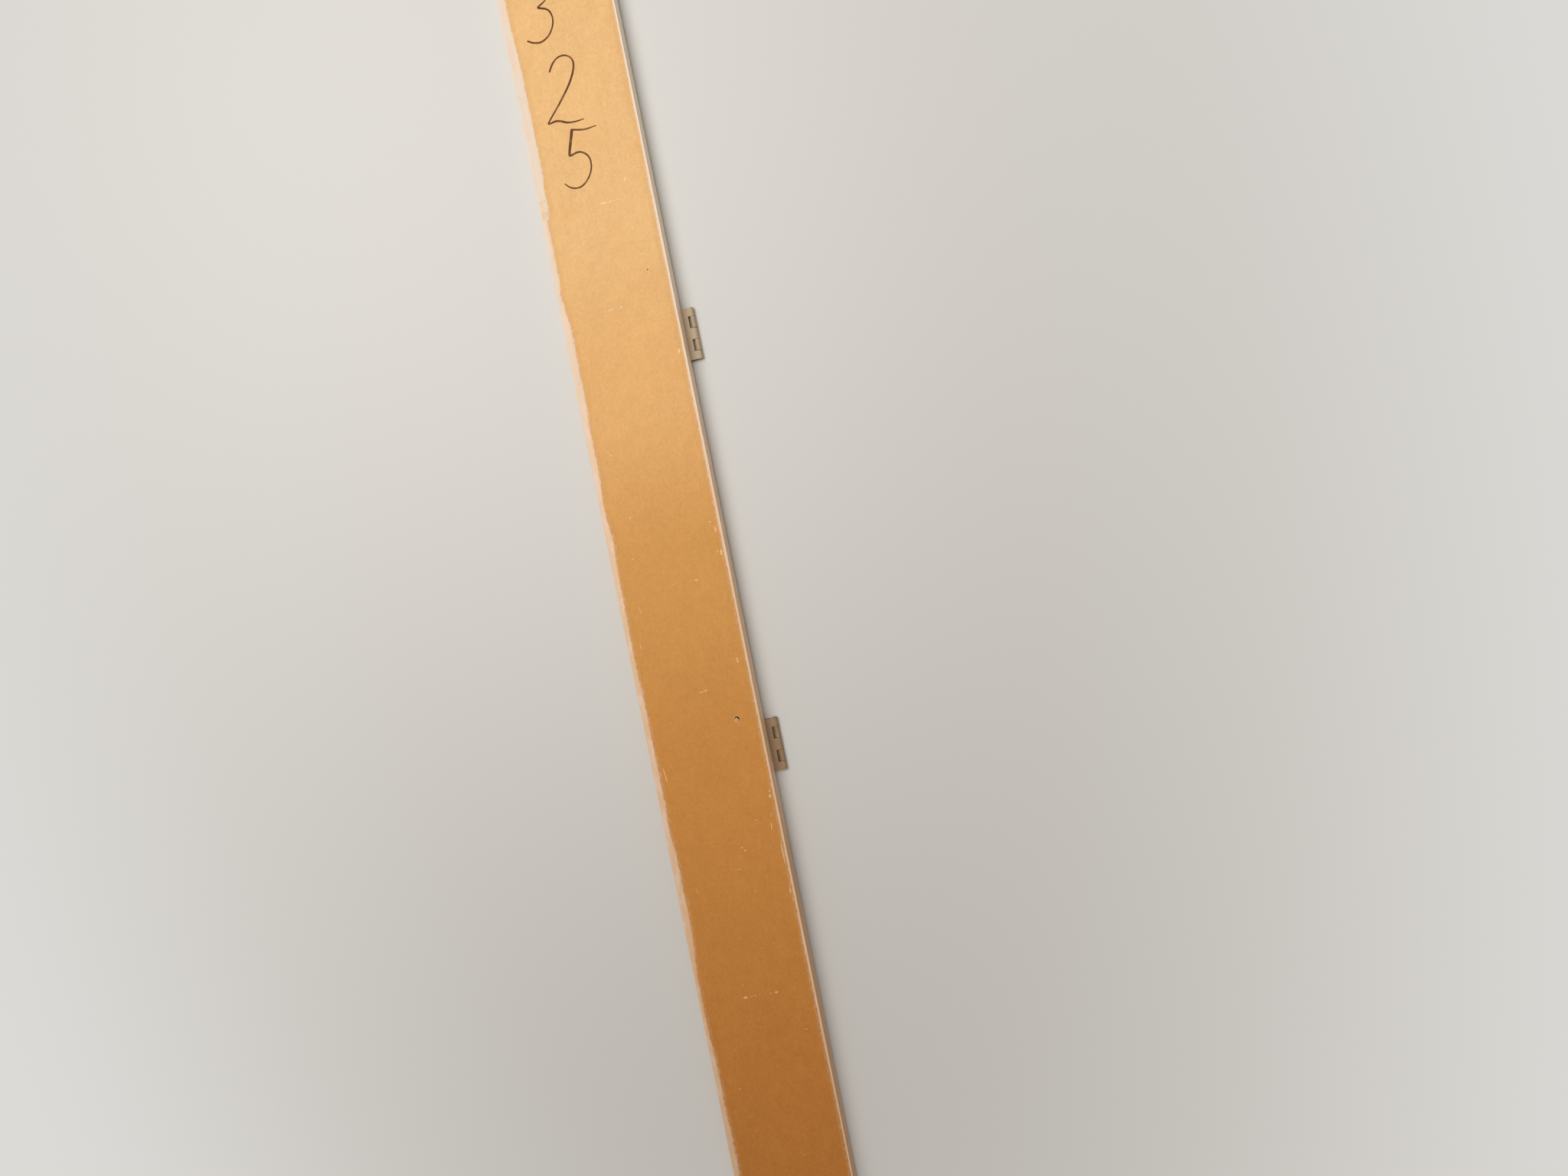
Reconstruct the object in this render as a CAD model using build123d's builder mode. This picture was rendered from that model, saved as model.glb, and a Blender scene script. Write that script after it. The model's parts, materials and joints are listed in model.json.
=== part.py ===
from build123d import *

import os
from math import asin, atan2, cos, hypot, radians, sin, tan

# Hinge-side leg of an interior door jamb, as it lies on a level floor with its raw back up.
# X runs across the board towards the hinges, Y along it towards the head end, Z up, in millimetres.

# Board
jamb_length = 2075.0
jamb_width = 116.0
jamb_thickness = 17.5
front_arris = 1.5
back_arris = 0.8

# Hinges, with their middles measured from the foot end of the board
hinge_heights = {"lower": 453.0, "upper": 863.0}
hinge_length = 50.8
end_knuckle = 8.2
leaf_width = 25.4
leaf_thickness = 1.4
leaf_reveal = 6.8
pin_radius = 1.3
pin_clearance = 0.05
pin_head_radius = 2.1
pin_head_height = 0.8
pin_head_bevel = 0.4
pin_tip_chamfer = 0.3
knuckle_gap = 0.25
knuckle_relief = 1.2
curl_slit = 0.3

# Gains that the jamb leaves are let into
gain_clearance = 0.25
gain_seat_gap = 0.05

# Countersunk screws, two in each jamb leaf, and the same holes in each door leaf,
# set back from the pin and in from the leaf's ends
screw_offset = 17.0
screw_margin = 9.4
screw_hole_radius = 1.8
countersink_radius = 2.6
countersink_angle = 82.0
screw_shank_radius = 1.4
screw_clearance = 0.05
screw_length = 14.0
screw_tip_length = 3.0
pilot_spare_depth = 0.8
recess_length = 2.6
recess_width = 0.7
recess_depth = 0.8

# Hole of a nail that was driven from the front and pulled, and the chip it burst from the back
nail_height = 486.0
nail_inset = 23.0
nail_radius = 1.1
nail_chip_radius = 2.6
nail_chip_angle = 110.0

# Knuckle and pin axis, measured from the middle of the front face
bore_radius = pin_radius + pin_clearance
knuckle_radius = bore_radius + leaf_thickness
pin_x = jamb_width / 2 + leaf_reveal + knuckle_radius
pin_z = -bore_radius

# The board rests on its far front arris and on the knuckles, which tilt it by this angle
arris_x = jamb_width / 2 - front_arris
reach = pin_x + arris_x
drop = front_arris - pin_z
lean = atan2(drop, reach) + asin((knuckle_radius - front_arris) / hypot(reach, drop))

# The origin is at floor level under the middle of everything
back_corner_x = jamb_width / 2 - back_arris
back_corner_z = jamb_thickness - back_arris
far_side = -back_corner_x * cos(lean) - back_corner_z * sin(lean) - back_arris
near_side = pin_x * cos(lean) - pin_z * sin(lean) + knuckle_radius
front_middle = Vector(
    -(far_side + near_side) / 2,
    0,
    front_arris + arris_x * sin(lean) - front_arris * cos(lean),
)
across = Vector(cos(lean), 0, sin(lean))
upward = Vector(-sin(lean), 0, cos(lean))
along = Vector(0, 1, 0)

# Planes on the board: looking along it, on its front face and on its back
cross_section = Plane(origin=front_middle, x_dir=across, z_dir=-along)
front_face = Plane(origin=front_middle, x_dir=across, z_dir=upward)
back_face = front_face.offset(jamb_thickness)

# Ends of the five knuckles, from the middle of the hinge, and which leaf has which
half_hinge = hinge_length / 2
inner_knuckle = (hinge_length - 2 * end_knuckle) / 3
knuckle_ends = [
    -half_hinge,
    -1.5 * inner_knuckle,
    -0.5 * inner_knuckle,
    0.5 * inner_knuckle,
    1.5 * inner_knuckle,
    half_hinge,
]
jamb_knuckles = (0, 2, 4)
door_knuckles = (1, 3)
screw_reach = half_hinge - screw_margin
screw_places = (-screw_reach, screw_reach)

os.makedirs("parts", exist_ok=True)


def finish(piece, name):
    """Label a finished piece and write it under its name."""
    piece.part.label = name
    export_step(piece.part, f"parts/{name}.step")


def hinge_leaf(section, other_knuckles):
    """A stamped leaf: section is square to the pin, with the leaf's plate on its -X side."""
    inner_face = Plane(
        origin=section.origin + section.y_dir * bore_radius,
        x_dir=section.x_dir,
        z_dir=-section.y_dir,
    )
    relief_width = 2 * knuckle_radius + knuckle_relief
    with BuildPart() as leaf:
        with BuildSketch(section):
            Circle(knuckle_radius)
            with Locations((-leaf_width / 2, bore_radius + leaf_thickness / 2)):
                Rectangle(leaf_width, leaf_thickness)
            Circle(bore_radius, mode=Mode.SUBTRACT)
            with Locations((-knuckle_radius / 2, bore_radius - curl_slit / 2)):
                Rectangle(knuckle_radius, curl_slit, mode=Mode.SUBTRACT)
        extrude(amount=half_hinge, both=True)
        # Room for the other leaf's knuckles
        for knuckle in other_knuckles:
            low = knuckle_ends[knuckle] - knuckle_gap / 2
            high = knuckle_ends[knuckle + 1] + knuckle_gap / 2
            with BuildSketch(section.offset((low + high) / 2)):
                with Locations((knuckle_radius - relief_width / 2, 0)):
                    Rectangle(relief_width, 2 * knuckle_radius)
            extrude(amount=(high - low) / 2, both=True, mode=Mode.SUBTRACT)
        with Locations(inner_face.location):
            with Locations(*[(-screw_offset, place) for place in screw_places]):
                CounterSinkHole(
                    screw_hole_radius,
                    countersink_radius,
                    depth=leaf_thickness,
                    counter_sink_angle=countersink_angle,
                )
    return leaf


def hinge_pin(section):
    """The pin, with its low crowned head at the end towards the head of the door."""
    top = Plane(
        origin=section.origin + along * half_hinge,
        x_dir=section.x_dir,
        z_dir=along,
    )
    with BuildPart() as pin:
        with BuildSketch(top.offset(pin_clearance)):
            Circle(pin_radius)
        extrude(amount=-(hinge_length + pin_clearance))
        tip = pin.edges().filter_by(GeomType.CIRCLE).sort_by(Axis.Y)[0]
        chamfer(tip, length=pin_tip_chamfer)
        with BuildSketch(top.offset(pin_clearance)):
            Circle(pin_head_radius)
        extrude(amount=pin_head_height)
        crown = pin.edges().filter_by(GeomType.CIRCLE).sort_by(Axis.Y)[-1]
        chamfer(crown, length=pin_head_bevel)
    return pin


def wood_screw(section, place):
    """A countersunk screw through the jamb leaf, turned about its own axis."""
    seat = section.offset(place).from_local_coords((-screw_offset, bore_radius, 0))
    head_radius = countersink_radius - screw_clearance
    head_height = (head_radius - screw_shank_radius) / tan(radians(countersink_angle / 2))
    with BuildPart() as screw:
        with BuildSketch(Plane(origin=seat, x_dir=section.x_dir, z_dir=section.z_dir)):
            with BuildLine():
                Polyline(
                    (0, 0),
                    (head_radius, 0),
                    (screw_shank_radius, head_height),
                    (screw_shank_radius, screw_length - screw_tip_length),
                    (0, screw_length),
                    close=True,
                )
            make_face()
        revolve(axis=Axis(seat, section.y_dir))
        with BuildSketch(Plane(origin=seat, x_dir=section.x_dir, z_dir=section.y_dir)):
            Rectangle(recess_length, recess_width)
            Rectangle(recess_width, recess_length)
        extrude(amount=recess_depth, mode=Mode.SUBTRACT)
    return screw


# Board, with the gains for the leaves, the pilot holes and the pulled nail's hole
hinge_places = {name: height - jamb_length / 2 for name, height in hinge_heights.items()}
gain_depth = leaf_thickness + gain_seat_gap
gain_inner_x = pin_x - leaf_width - gain_clearance
gain_width = jamb_width / 2 - gain_inner_x
gain_length = hinge_length + 2 * gain_clearance
pilot_depth = screw_length + pilot_spare_depth
with BuildPart() as board:
    with BuildSketch(cross_section) as outline:
        Rectangle(jamb_width, jamb_thickness, align=(Align.CENTER, Align.MIN))
        fillet(outline.vertices().sort_by(Axis.Y)[:2], radius=front_arris)
        fillet(outline.vertices().sort_by(Axis.Y)[-2:], radius=back_arris)
    extrude(amount=jamb_length / 2, both=True)
    with BuildSketch(front_face):
        with Locations(*[(gain_inner_x, place) for place in hinge_places.values()]):
            Rectangle(gain_width, gain_length, align=(Align.MIN, Align.CENTER))
    extrude(amount=gain_depth, mode=Mode.SUBTRACT)
    with BuildSketch(front_face):
        with Locations(*[(pin_x - screw_offset, place) for place in hinge_places.values()]):
            with GridLocations(0, 2 * screw_reach, 1, 2):
                Circle(screw_shank_radius + screw_clearance)
    extrude(amount=pilot_depth, mode=Mode.SUBTRACT)
    with Locations(back_face.location):
        with Locations((jamb_width / 2 - nail_inset, nail_height - jamb_length / 2)):
            CounterSinkHole(nail_radius, nail_chip_radius, counter_sink_angle=nail_chip_angle)
finish(board, "jamb_leg")

# Hinges: the jamb leaf follows the board, and the door leaf hangs level on the floor
for name, place in hinge_places.items():
    pin_middle = cross_section.from_local_coords((pin_x, pin_z, -place))
    jamb_section = Plane(origin=pin_middle, x_dir=across, z_dir=-along)
    door_section = Plane(origin=pin_middle, x_dir=(1, 0, 0), z_dir=along)
    finish(hinge_leaf(jamb_section, door_knuckles), f"{name}_jamb_leaf")
    finish(hinge_leaf(door_section, jamb_knuckles), f"{name}_door_leaf")
    finish(hinge_pin(jamb_section), f"{name}_hinge_pin")
    for side, offset in zip(("foot", "head"), reversed(screw_places)):
        finish(wood_screw(jamb_section, offset), f"{name}_{side}_screw")
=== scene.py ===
import json
import random
from functools import reduce
from math import atan2, pi, radians

import bmesh
import bpy
from bpy.props import FloatProperty, FloatVectorProperty, IntProperty, PointerProperty
from bpy.types import Operator, Panel, PropertyGroup
from mathutils import Euler, Matrix, Vector, noise


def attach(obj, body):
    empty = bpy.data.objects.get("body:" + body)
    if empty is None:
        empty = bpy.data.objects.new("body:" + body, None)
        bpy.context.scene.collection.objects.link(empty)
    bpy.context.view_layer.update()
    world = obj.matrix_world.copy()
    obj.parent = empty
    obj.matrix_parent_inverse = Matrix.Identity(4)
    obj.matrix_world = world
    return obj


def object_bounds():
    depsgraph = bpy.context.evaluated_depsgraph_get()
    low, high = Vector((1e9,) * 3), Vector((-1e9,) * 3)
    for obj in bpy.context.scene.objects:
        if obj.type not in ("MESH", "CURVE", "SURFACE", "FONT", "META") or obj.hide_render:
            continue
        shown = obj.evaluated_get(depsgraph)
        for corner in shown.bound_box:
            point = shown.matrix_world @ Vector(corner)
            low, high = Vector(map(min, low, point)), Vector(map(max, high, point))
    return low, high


bl_info = {
    "name": "Door jamb leg finishes",
    "version": (1, 0, 0),
    "blender": (4, 5, 0),
    "location": "3D View > Sidebar > Jamb",
    "description": "Finishes of a painted fibreboard door jamb leg with its two small hinges",
    "category": "Object",
}

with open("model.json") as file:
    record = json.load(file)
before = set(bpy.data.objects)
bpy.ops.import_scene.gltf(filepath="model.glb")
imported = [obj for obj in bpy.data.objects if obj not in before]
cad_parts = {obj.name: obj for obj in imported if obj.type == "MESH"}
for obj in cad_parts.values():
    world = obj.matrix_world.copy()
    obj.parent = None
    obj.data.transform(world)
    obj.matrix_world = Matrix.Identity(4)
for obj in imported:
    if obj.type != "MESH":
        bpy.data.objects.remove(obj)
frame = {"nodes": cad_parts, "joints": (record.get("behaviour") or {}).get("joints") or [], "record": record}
cad_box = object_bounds()

# The board's own frame, from its mounts: X across to the hinge edge, Y to the head end, Z to the back
mounts = {mount["name"]: mount for mount in frame["record"]["mounts"]}


def mount_point(name):
    """Where a mount of the board is, in metres."""
    return Vector(mounts[name]["pos_m"])


def mount_axis(name):
    """Which way a mount of the board faces."""
    return Vector(mounts[name]["axis"])


ACROSS = mount_axis("hinge_edge")
ALONG = mount_axis("head_end")
UPWARD = mount_axis("back_face")
BOARD = Matrix((ACROSS, ALONG, UPWARD)).transposed().to_4x4()
BOARD.translation = mount_point("front_face")
WIDTH = (mount_point("hinge_edge") - mount_point("far_edge")).dot(ACROSS)
LENGTH = (mount_point("head_end") - mount_point("foot_end")).dot(ALONG)
THICKNESS = (mount_point("back_face") - mount_point("front_face")).dot(UPWARD)
MM = 0.001
HALF_WIDTH = WIDTH / MM / 2
HALF_LENGTH = LENGTH / MM / 2
THICK = THICKNESS / MM
BACK_ARRIS = 0.8
SEED = 7

# Sizes on the board are in millimetres, heights are from its foot end, and turns are in degrees

# Width of the paint that lapped onto the back along each long edge: height, width
far_lap_widths = [
    (0, 5.6),
    (92, 6.6),
    (110, 5.5),
    (165, 5.6),
    (183, 4.3),
    (245, 3.7),
    (262, 4.8),
    (284, 7.0),
    (312, 8.0),
    (340, 6.8),
    (364, 7.5),
    (394, 5.2),
    (420, 6.5),
    (528, 6.2),
    (550, 4.8),
    (660, 6.3),
    (675, 7.7),
    (710, 4.9),
    (740, 6.8),
    (795, 6.6),
    (808, 7.8),
    (893, 8.2),
    (914, 5.6),
    (926, 4.7),
    (938, 6.2),
    (1000, 5.8),
    (1008, 10.4),
    (1030, 9.1),
    (1046, 10.8),
    (1150, 10.6),
    (1200, 8.3),
    (2075, 6.8),
]
near_lap_widths = [
    (0, 2.7),
    (110, 2.9),
    (190, 3.3),
    (260, 3.4),
    (360, 3.0),
    (460, 2.9),
    (560, 2.8),
    (660, 3.0),
    (760, 3.1),
    (860, 2.6),
    (960, 3.0),
    (1040, 2.5),
    (1200, 2.3),
    (1500, 2.4),
    (1800, 2.8),
    (2075, 2.4),
]
# Stretch of the far lap where the paint is thin and the board shows through
thin_paint_height = 1013
thin_paint_reach = 12
# The lap width that a ramp reaches at its full value
ramp_width = 20.0
# How short of the board's ends the laps stop, and how far past the arris they reach at least
lap_end_gap = 0.05
lap_least_reach = 0.4
# Share of a lap's width from which its film thins to the rim, and the share that is left of it
rim_start = 0.9
rim_film = 0.35
# How far under the face the undersides of the laps and of the pen strokes are sunk
film_foot = 0.03
stroke_foot = 0.02

# How far the figures drawn on the back with a marker lean
figure_slant = -11.2
# Each figure is a list of strokes, and each stroke a list of points: right, up, half width
figure_three = [
    [
        (-13, 22, 0.9),
        (-8, 30, 1.2),
        (4, 33, 1.0),
        (11, 25, 0.8),
        (6, 12, 0.7),
        (-3, 6, 1.0),
        (-2, 5, 1.1),
        (9, 3, 0.9),
        (14, -9, 0.8),
        (9, -24, 0.9),
        (-4, -31, 1.1),
        (-14, -26, 0.8),
    ],
]
figure_two = [
    [
        (-15, 19, 1.0),
        (-12, 30, 1.0),
        (0, 36, 0.8),
        (11, 29, 0.9),
        (8, 11, 1.1),
        (-4, -11, 1.0),
        (-16, -29, 0.8),
        (-17, -32, 0.9),
        (-7, -28, 1.1),
        (6, -33, 1.0),
        (20, -29, 0.5),
    ],
]
figure_five = [
    [
        (-7, 29, 1.5),
        (-8, 20, 1.5),
        (-10, 5, 1.3),
        (-9, 3, 1.2),
        (1, 8, 0.9),
        (12, 1, 0.8),
        (13, -14, 0.8),
        (4, -28, 0.9),
        (-9, -29, 0.8),
        (-15, -23, 0.5),
    ],
    [
        (-8, 29, 0.9),
        (0, 28, 0.9),
        (8, 28, 1.0),
        (18, 31, 0.5),
    ],
]
# The figures and where their middles are: across, height
figures = [
    (figure_three, -17, 1202),
    (figure_two, -9, 1121),
    (figure_five, -8, 1052),
]

# Pale marks where the face was scratched or flecked: across, height, length, width, turn
pale_marks = [
    (33, 1020, 4.6, 1.6, 70),
    (7, 1003.2, 7, 1.4, 0),
    (14.5, 1002.9, 3.2, 0.9, 0),
    (18.5, 1002.7, 2.4, 0.8, 2),
    (23, 1002.5, 2.8, 0.7, -3),
    (51.5, 844, 5.4, 2.2, 84),
    (-35.9, 761, 2.2, 1.6, 0),
    (-7.5, 899.8, 4.8, 1.1, 2),
    (3.8, 899.7, 2.8, 1.5, 0),
    (-51.2, 890.6, 6.2, 0.9, -31),
    (-29.4, 697.2, 1.7, 1.3, 0),
    (-49.2, 685, 1.8, 1.1, 20),
    (47.2, 676.7, 2.2, 1.5, 0),
    (51.4, 668.6, 6.0, 1.5, 88),
    (-35, 657.6, 1.6, 1.3, 0),
    (49.1, 647.2, 1.8, 1.4, 0),
    (52.6, 646, 6.0, 2.3, 88),
    (-0.6, 625.3, 3.2, 0.4, 0),
    (22.9, 624.6, 3.4, 1.6, 0),
    (-38, 607, 8.4, 0.6, -76),
    (-44.5, 572, 5.6, 0.7, -70),
    (47, 541.5, 6.0, 1.4, -86),
    (6, 517.6, 4.4, 0.8, 8),
    (10.2, 518.3, 4.6, 1.2, 6),
    (-46.1, 444.4, 15.2, 0.9, -84),
    (51.7, 408, 3.8, 2.4, 90),
    (52.2, 413, 3.4, 1.2, 88),
    (47.1, 379.5, 7.4, 0.9, 84),
    (34, 387.5, 1.4, 1.1, 0),
    (14.8, 363.7, 1.7, 1.3, 0),
    (17.1, 360.5, 1.8, 1.3, 40),
    (7.1, 344, 4.4, 0.5, -2),
    (-11.4, 233.5, 1.4, 0.8, 40),
    (-11.2, 221.4, 4.6, 2.2, 8),
    (-5.4, 221.8, 3.0, 0.5, 3),
    (-1.6, 222, 2.2, 0.9, 3),
    (3, 222.2, 1.5, 0.6, 3),
    (14.2, 222.5, 2.2, 0.6, 3),
    (19.5, 222.6, 3.9, 1.5, 5),
    (37.1, 224, 1.2, 0.9, 0),
    (51.8, 203.1, 1.1, 0.8, 0),
    (40.9, 184.3, 2.4, 1.0, 0),
]
# Shallower ones, that show less
faint_marks = [
    (39, 565.5, 8.4, 1.8, -64),
    (49.2, 390.5, 5.6, 2.6, 84),
    (-7, 345.4, 4.6, 0.7, 0),
    (33.1, 343.2, 1.8, 1.4, 0),
    (-37.4, 329, 7.2, 1.5, -74),
    (5.9, 257.4, 1.6, 1.4, 0),
    (-5.3, 486.7, 2.2, 2.0, 0),
    (-1, 899.8, 3.4, 1.2, 0),
    (-32.7, 851, 2.6, 1.4, 0),
    (21.4, 813, 2.2, 1.1, 30),
    (43, 805, 8.5, 0.8, -12),
    (0.4, 794, 2.6, 1.5, 20),
    (-20.8, 780, 3.4, 0.7, 80),
    (-12.5, 899.9, 3, 0.9, 0),
    (13.6, 518.9, 1.8, 0.4, 6),
    (9.1, 396, 1.8, 1.2, 0),
    (0, 344.9, 5.6, 0.4, -2),
    (15, 343.7, 5.2, 0.6, -2),
    (21.4, 343.4, 3.2, 0.4, 0),
    (18.8, 320.8, 3.6, 1.4, 0),
    (8.6, 222.4, 2.0, 0.6, 3),
    (-17.5, 221, 1.8, 0.8, 0),
    (-32.6, 172.6, 1.4, 0.9, 0),
    (-8.6, 193.6, 2.6, 0.8, 80),
    (-1.5, 191.2, 3.0, 0.8, 0),
    (-35, 135.3, 2.6, 2.2, 0),
    (-27, 94, 4.0, 0.7, 20),
    (15, 66.3, 2.8, 1.2, 0),
    (29.9, 51.3, 3.0, 0.5, 88),
]
# Specks of dirt, listed the same way
dark_specks = [
    (37.2, 928.8, 1.7, 1.2, 30),
    (-2.2, 55, 2.4, 1.4, 60),
    (-30, 655, 1.2, 0.8, 0),
    (23, 700, 1.0, 0.8, 0),
]
# Thin streaks of paint just inside the near lap, listed the same way
paint_streaks = [
    (52.9, 352, 26, 1.4, 91),
    (52.7, 317, 8, 1.5, 86),
]
# A fleck's corners, how far each strays in and out, the radius of its top over a foot of 0.5,
# and the share of its rise by which its middle lies above the face
fleck_corners = 22
fleck_strays = (-0.32, 0.24)
fleck_top = 0.36
fleck_lift = 0.4

# Heights at which the raw board has each of its five tones, foot first. The tones deepen towards the foot as
# painted falloff of light, and are paler at the head with painted sheen
tan_heights = (60, 440, 640, 820, 1000)
# Paint and flecks have their foot colour up to the first height, and their head colour from the second. The
# deeper foot colours are painted falloff of light
paint_heights = (600, 1120)
# The edge by the hinges has painted shade up to the first height, and none from the second
edge_shade_heights = (330, 430)
# The same for the arris beside it, where the painted shade thins out slowly
arris_shade_heights = (300, 800)
# Fibres in the raw board: length, width, turn, and the level of noise from which one shows.
# By the softness above that level it shows fully
dark_fibres = [(1.9, 0.26, 24.0, 0.64), (1.5, 0.22, 108.0, 0.65), (2.4, 0.24, -41.0, 0.66)]
pale_fibres = [(1.7, 0.22, 66.0, 0.65), (2.2, 0.24, -8.0, 0.66)]
fibre_softness = 0.12
# How rough the surface of the raw board is, and that of the paint
raw_roughness = 0.7
paint_roughness = 0.42

nail_across = 35.0
nail_height = 486.0
nail_chip_radius = 2.6
# Section of the torn rim round the chip, from its inner foot over its crest to its outer foot:
# distance past the chip's edge, height; and the steps round it
rim_section = [(-0.1, -0.2), (0.1, 0.1), (0.45, 0.05), (0.9, -0.05)]
rim_steps = 40
# The plug of fibre that the nail pushed up, from the middle of its hole: across, along, up
plug_middle = (-0.5, -1.05, -0.1)
plug_half_size = (1.85, 2.3, 0.42)

# Length of each of a hinge's three inner knuckles, and how much painted shade the joints between them have
inner_knuckle = 11.47
joint_shade_shares = {"lower": 0.15, "upper": 0.7}

# The floor's side, and how far below everything it lies, in metres
floor_size = 60.0
floor_drop = 0.0002
# Where the floor that is seen melts into the backdrop: the shape of the oval across and along,
# and how many times it is scaled at the start and the end
floor_oval = (0.45, 1.0, 1.0)
floor_near = 0.5
floor_far = 2.1
# The point that the main light is turned to
key_aim = Vector((0.0, 0.8, 0.0))


def tint(red, green, blue):
    """A colour written as 0 to 255 screen values, as the light values that shaders use."""
    channels = (value / 255 for value in (red, green, blue))
    return tuple(c / 12.92 if c <= 0.04045 else ((c + 0.055) / 1.055) ** 2.4 for c in channels)


class Reading:
    """A value that varies over a surface. Sums written on it become Math nodes."""

    def __init__(self, nodes, socket):
        self.nodes = nodes
        self.socket = socket

    def __add__(self, other):
        return self.nodes.maths("ADD", self, other)

    __radd__ = __add__

    def __mul__(self, other):
        return self.nodes.maths("MULTIPLY", self, other)

    __rmul__ = __mul__

    def __sub__(self, other):
        return self.nodes.maths("SUBTRACT", self, other)

    def __rsub__(self, other):
        return self.nodes.maths("SUBTRACT", other, self)

    def __truediv__(self, other):
        return self.nodes.maths("DIVIDE", self, other)

    def __abs__(self):
        return self.nodes.maths("ABSOLUTE", self)

    def least(self, other):
        """The smaller of the two."""
        return self.nodes.maths("MINIMUM", self, other)

    def most(self, other):
        """The larger of the two."""
        return self.nodes.maths("MAXIMUM", self, other)

    def past(self, low, high):
        """0 up to low and 1 from high, with a smooth step between."""
        settings = {"interpolation_type": "SMOOTHSTEP"}
        sockets = {"Value": self, "From Min": low, "From Max": high}
        return self.nodes.node("MapRange", settings, sockets)

    def before(self, low, high):
        """1 up to low and 0 from high, with a smooth step between."""
        return 1 - self.past(low, high)

    def swing(self, amount):
        """Half the amount below 0 to half above, of a reading from 0 to 1."""
        return (self - 0.5) * amount


class Nodes:
    """A tree of shader nodes in the making."""

    def __init__(self, tree):
        self.tree = tree

    def node(self, kind, settings=None, sockets=None, output=0):
        """Add a shader node: its settings first, then the values or links of its sockets."""
        made = self.tree.nodes.new(f"ShaderNode{kind}")
        for name, value in (settings or {}).items():
            if name == "stops":
                self.set_stops(made.color_ramp, value)
            else:
                setattr(made, name, value)
        for name, value in (sockets or {}).items():
            self.feed(made.inputs[name], value)
        return Reading(self, made.outputs[output])

    def set_stops(self, ramp, stops):
        """Set a ramp's stops from (position, grey level) pairs."""
        while len(ramp.elements) < len(stops):
            ramp.elements.new(1.0)
        for element, (position, level) in zip(ramp.elements, stops):
            element.position = position
            element.color = (level, level, level, 1.0)

    def feed(self, socket, value):
        """Link a reading to a socket, or set its fixed value."""
        if isinstance(value, Reading):
            self.tree.links.new(value.socket, socket)
        elif socket.type == "RGBA":
            socket.default_value = (*value[:3], 1.0)
        else:
            socket.default_value = value

    def maths(self, operation, *values):
        """A Math node on readings or numbers."""
        return self.node("Math", {"operation": operation}, dict(enumerate(values)))

    def looked_at(self):
        """1 for rays from the eye, straight, mirrored or through glass, and 0 for rays that light."""
        path = self.node("LightPath").socket.node
        rays = Reading(self, path.outputs["Is Camera Ray"])
        for kind in ("Is Glossy Ray", "Is Transmission Ray"):
            rays = rays.most(Reading(self, path.outputs[kind]))
        return rays


class Finish(Nodes):
    """A material in the making, with its pattern read in object coordinates."""

    def __init__(self, name):
        self.material = bpy.data.materials.new(name)
        self.material.use_nodes = True
        super().__init__(self.material.node_tree)
        self.shader = self.tree.nodes["Principled BSDF"]
        self.place = self.node("TexCoord", output="Object")

    def mix(self, share, first, second):
        """From the first colour at a share of 0 to the second at 1."""
        sockets = {0: share, 6: first, 7: second}
        return self.node("Mix", {"data_type": "RGBA"}, sockets, output=2)

    def shade(self, colour, amount):
        """A colour made lighter or darker by an amount round 1."""
        return self.node("VectorMath", {"operation": "SCALE"}, {0: colour, "Scale": amount})

    def measured(self, place, size, origin=(0.0, 0.0, 0.0), turn=(0.0, 0.0, 0.0)):
        """Coordinates from an origin, along turned axes, in units of a size along each."""
        sockets = {"Vector": place, "Location": origin, "Rotation": turn, "Scale": size}
        return self.node("Mapping", {"vector_type": "TEXTURE"}, sockets)

    def noise(self, place, size, detail=2.0, roughness=0.5, distortion=0.0, turn=0.0):
        """Smooth noise from 0 to 1, its features of a size along each axis, turned about Z."""
        sockets = {
            "Vector": self.measured(place, size, turn=(0.0, 0.0, radians(turn))),
            "Scale": 1.0,
            "Detail": detail,
            "Roughness": roughness,
            "Distortion": distortion,
        }
        return self.node("TexNoise", None, sockets)

    def axes(self, place):
        """The three coordinates of a place as readings."""
        parts = self.node("SeparateXYZ", None, {0: place}).socket.node
        return [Reading(self, output) for output in parts.outputs]

    def board_place(self):
        """Millimetres in the board's frame: across from its middle, along from its middle, up."""
        return self.measured(self.place, (MM, MM, MM), BOARD.translation, BOARD.to_euler())

    def bump(self, height, depth, under=None):
        """A bump of a height reading, where 1 stands for a depth in millimetres."""
        sockets = {"Height": height, "Distance": depth * MM, "Strength": 1.0}
        if under:
            sockets["Normal"] = under
        return self.node("Bump", None, sockets)

    def wear(self, **sockets):
        """Set the shader's own sockets, named with underscores for spaces."""
        for name, value in sockets.items():
            label = name.replace("_", " ").title().replace("Ior", "IOR")
            self.feed(self.shader.inputs[label], value)
        return self.material


def risen(along, low, high):
    """0 up to one height above the foot end and 1 from another, with a smooth step between."""
    return along.past(low - HALF_LENGTH, high - HALF_LENGTH)


def toward_head(along):
    """How far a place is from the deeper coloured foot half, 0, into the paler head half, 1: the share of
    the painted falloff of light.
    """
    return risen(along, *paint_heights)


def arris_shade(along, far_side):
    """How much painted shade the arris by the hinges has, 1 at the foot."""
    return (1 - risen(along, *arris_shade_heights)) * (1 - far_side)


def board_tone_and_light_falloff(finish, along, sizes):
    """The raw board's colour, deeper towards its foot: painted falloff of light, with painted sheen towards
    the head.
    """
    colour = sizes.foot_tan
    tones = (sizes.low_tan, sizes.middle_tan, sizes.high_tan, sizes.head_tan)
    for low, high, tone in zip(tan_heights, tan_heights[1:], tones):
        colour = finish.mix(risen(along, low, high), colour, tone)
    return colour


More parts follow.
